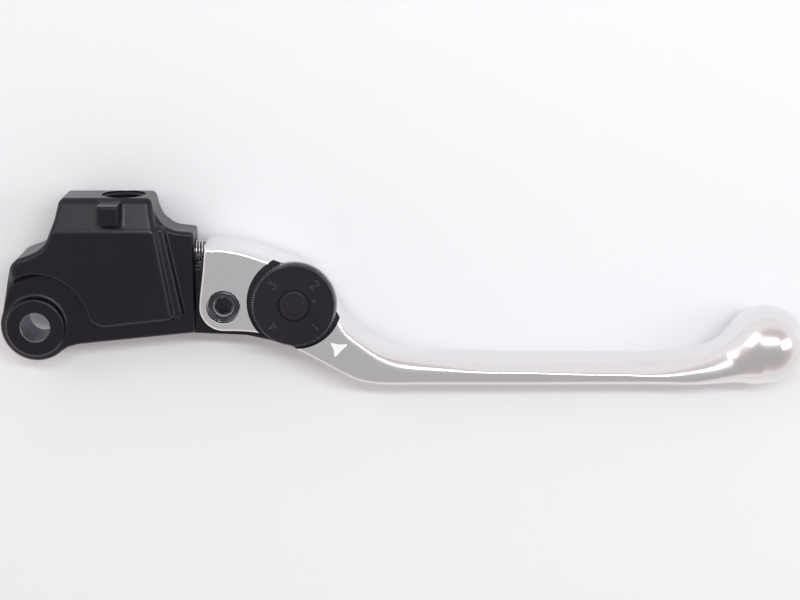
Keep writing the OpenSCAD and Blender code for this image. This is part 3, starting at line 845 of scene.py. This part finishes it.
LOOKS = {
    "adapter_black": shader("adapter_black", (0.0048, 0.0034, 0.0080), 0.30, grain=(1400, 0.0012),
                            tint=0.2, spread=0.03, Specular_IOR_Level=0.37),
    "satin_aluminium": shader("satin_aluminium", (0.83, 0.825, 0.83), 0.22, 1.0, grain=(4200, 0.0003),
                              tint=0.01, spread=0.02, scratches=0.0001),
    # painted shade: a dark look for the dial's recess in the lever and for the screw's socket, standing in
    # for the shade that falls in them
    "painted_recess_shade": shader("painted_recess_shade", (0.045, 0.043, 0.05), 0.35, 0.8, grain=(3200, 0.001), tint=0.15,
                          spread=0.06),
    "dial_black": shader("dial_black", (0.008, 0.0058, 0.0105), 0.5, grain=(3800, 0.0012), tint=0.3,
                         spread=0.05, Specular_IOR_Level=0.3),
    "knurl_black": shader("knurl_black", (0.11, 0.105, 0.12), 0.25, 0.8, grain=(3000, 0.004), tint=0.6,
                          spread=0.08),
    "numeral_grey": shader("numeral_grey", (0.07, 0.065, 0.075), 0.35, 0.3, grain=(3000, 0.004), tint=0.3,
                           spread=0.06),
    "cap_black": shader("cap_black", (0.010, 0.0075, 0.013), 0.32, grain=(3800, 0.001), tint=0.3,
                        spread=0.05, Specular_IOR_Level=0.4),
    "plain_steel": shader("plain_steel", (0.55, 0.56, 0.58), 0.32, 1.0, grain=(3000, 0.0015), tint=0.05,
                          spread=0.06, scratches=0.002),
    "spring_steel": shader("spring_steel", (0.62, 0.62, 0.63), 0.22, 1.0, grain=(5000, 0.002), tint=0.06,
                           spread=0.05),
    "liner_dark": shader("liner_dark", (0.34, 0.35, 0.42), 0.28, 1.0, grain=(2600, 0.001), tint=0.15,
                         spread=0.06),
    "dark_steel": shader("dark_steel", (0.075, 0.075, 0.083), 0.3, 0.9, grain=(3200, 0.001), tint=0.15,
                         spread=0.07),
    "bronze": shader("bronze", (0.55, 0.38, 0.20), 0.36, 1.0, grain=(3000, 0.005), tint=0.08, spread=0.06),
    "white_paint": shader("white_paint", (0.93, 0.93, 0.93), 0.45, grain=(3000, 0.006), tint=0.03,
                          spread=0.05),
}


# ---------------------------------------------------------------- the pieces


def finish_piece(obj, look, body, *nodes, slot=None):
    """Gives a piece its look, unless it has one, and its place in the frame."""
    if not any(obj.data.materials):
        obj.data.materials.clear()
        obj.data.materials.append(LOOKS[look])
    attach(obj, body)
    if nodes:
        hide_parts(*nodes)
    return obj


lever = build_lever()
lever.name = "lever"
finish_piece(lever, "satin_aluminium", "lever", "lever_blade")
adapter = build_adapter()
adapter.name = "adapter"
finish_piece(adapter, "adapter_black", "adapter", "adapter_body")
finish_piece(build_liner(), "liner_dark", "adapter", "pivot_bush", slot="dark_steel")
spring = finish_piece(build_spring(), "spring_steel", "adapter", "reach_spring")
finish_piece(build_screw(), "dark_steel", "lever", "hinge_screw")
finish_piece(build_nut(), "plain_steel", "lever", "hinge_nut")
finish_piece(build_mark(), "white_paint", "lever", "index_mark")
dial = build_numerals(build_dial())
finish_piece(dial, "dial_black", "dial", "dial_cap")
finish_piece(build_cap(), "cap_black", "dial", "centre_cap")

# the hidden pieces stay as the CAD has them, with a look of their own
HIDDEN = {"pushrod_cup": "plain_steel", "cam_pad": "plain_steel", "hinge_bush": "bronze",
          "hinge_washers": "plain_steel", "detent_ball": "plain_steel", "detent_spring": "spring_steel",
          "dial_shaft": "dark_steel", "reach_cam": "plain_steel", "dial_screw": "dark_steel",
          "thrust_washer": "bronze", "retaining_ring": "dark_steel"}
for node_name, look in HIDDEN.items():
    for material_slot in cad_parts[node_name].material_slots:
        material_slot.material = LOOKS[look]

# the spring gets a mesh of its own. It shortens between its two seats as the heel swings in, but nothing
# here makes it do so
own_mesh(spring)

# ---------------------------------------------------------------- floor, light and camera


def floor():
    """A plain pale floor, a tenth of a millimetre below the part."""
    half = 3.0
    z = cad_box[0][2] - 0.1 * MM
    corners = [(-half, -half, z), (half, -half, z), (half, half, z), (-half, half, z)]
    mesh = bpy.data.meshes.new("floor")
    mesh.from_pydata(corners, [], [(0, 1, 2, 3)])
    obj = bpy.data.objects.new("floor", mesh)
    bpy.context.scene.collection.objects.link(obj)
    mesh.materials.append(
        shader("floor", (0.86, 0.855, 0.87), 0.5, grain=(400, 0.01), tint=0.004, spread=0.03))


def area(name, at, target, size, power, colour):
    """A soft rectangular lamp that faces its target."""
    data = bpy.data.lights.new(name, "AREA")
    data.shape = "RECTANGLE"
    data.size, data.size_y = size
    data.energy = power
    data.color = colour
    obj = bpy.data.objects.new(name, data)
    obj.location = at
    obj.rotation_euler = (Vector(target) - Vector(at)).to_track_quat("-Z", "Y").to_euler()
    bpy.context.scene.collection.objects.link(obj)


floor()
area("key", (0.25, 0.305, 0.77), (0.22, 0, 0), (0.62, 0.05), 3.0, (0.90, 0.98, 1))
area("window", (-0.38, 0.40, 0.62), (0.09, 0, 0), (0.50, 0.30), 0.9, (0.98, 0.98, 1))
area("side", (0.75, 0.10, 0.45), (0.12, 0, 0), (0.25, 0.35), 0.9, (0.98, 0.99, 1))


def studio(stops):
    """A pale room that is darker overhead, where the camera and the ceiling are."""
    world = bpy.data.worlds.new("studio")
    bpy.context.scene.world = world
    world.use_nodes = True
    nt = world.node_tree
    at = nt.nodes.new("ShaderNodeTexCoord")
    upward = nt.nodes.new("ShaderNodeVectorMath")
    upward.operation = "DOT_PRODUCT"
    upward.inputs[1].default_value = (0.14, -0.12, 0.98)
    nt.links.new(at.outputs["Generated"], upward.inputs[0])
    ramp = nt.nodes.new("ShaderNodeValToRGB")
    ramp.color_ramp.interpolation = "EASE"
    points = ramp.color_ramp.elements
    while len(points) < len(stops):
        points.new(0.5)
    for point, (height, colour) in zip(points, stops):
        point.position, point.color = height, (*colour, 1)
    nt.links.new(upward.outputs["Value"], ramp.inputs["Fac"])
    nt.links.new(ramp.outputs["Color"], nt.nodes["Background"].inputs["Color"])


studio([(0.32, (0.93, 0.90, 0.90)), (0.52, (0.655, 0.56, 0.555)), (0.80, (0.505, 0.465, 0.47)),
        (0.93, (0.49, 0.48, 0.49))])

TILT = math.radians(13.1)
CAMERA_AT = (0.08744, 0.10865, 0.44424)
camera = bpy.data.cameras.new("camera")
camera.sensor_width = 36.0
camera.lens = 84.7
camera.clip_start, camera.clip_end = 0.01, 20
eye = bpy.data.objects.new("camera", camera)
c, s = math.cos(TILT), math.sin(TILT)
eye.matrix_world = Matrix(((1, 0, 0, CAMERA_AT[0]), (0, c, s, CAMERA_AT[1]), (0, -s, c, CAMERA_AT[2]),
                           (0, 0, 0, 1)))
bpy.context.scene.collection.objects.link(eye)
bpy.context.scene.camera = eye
bpy.context.scene.view_settings.view_transform = "Standard"
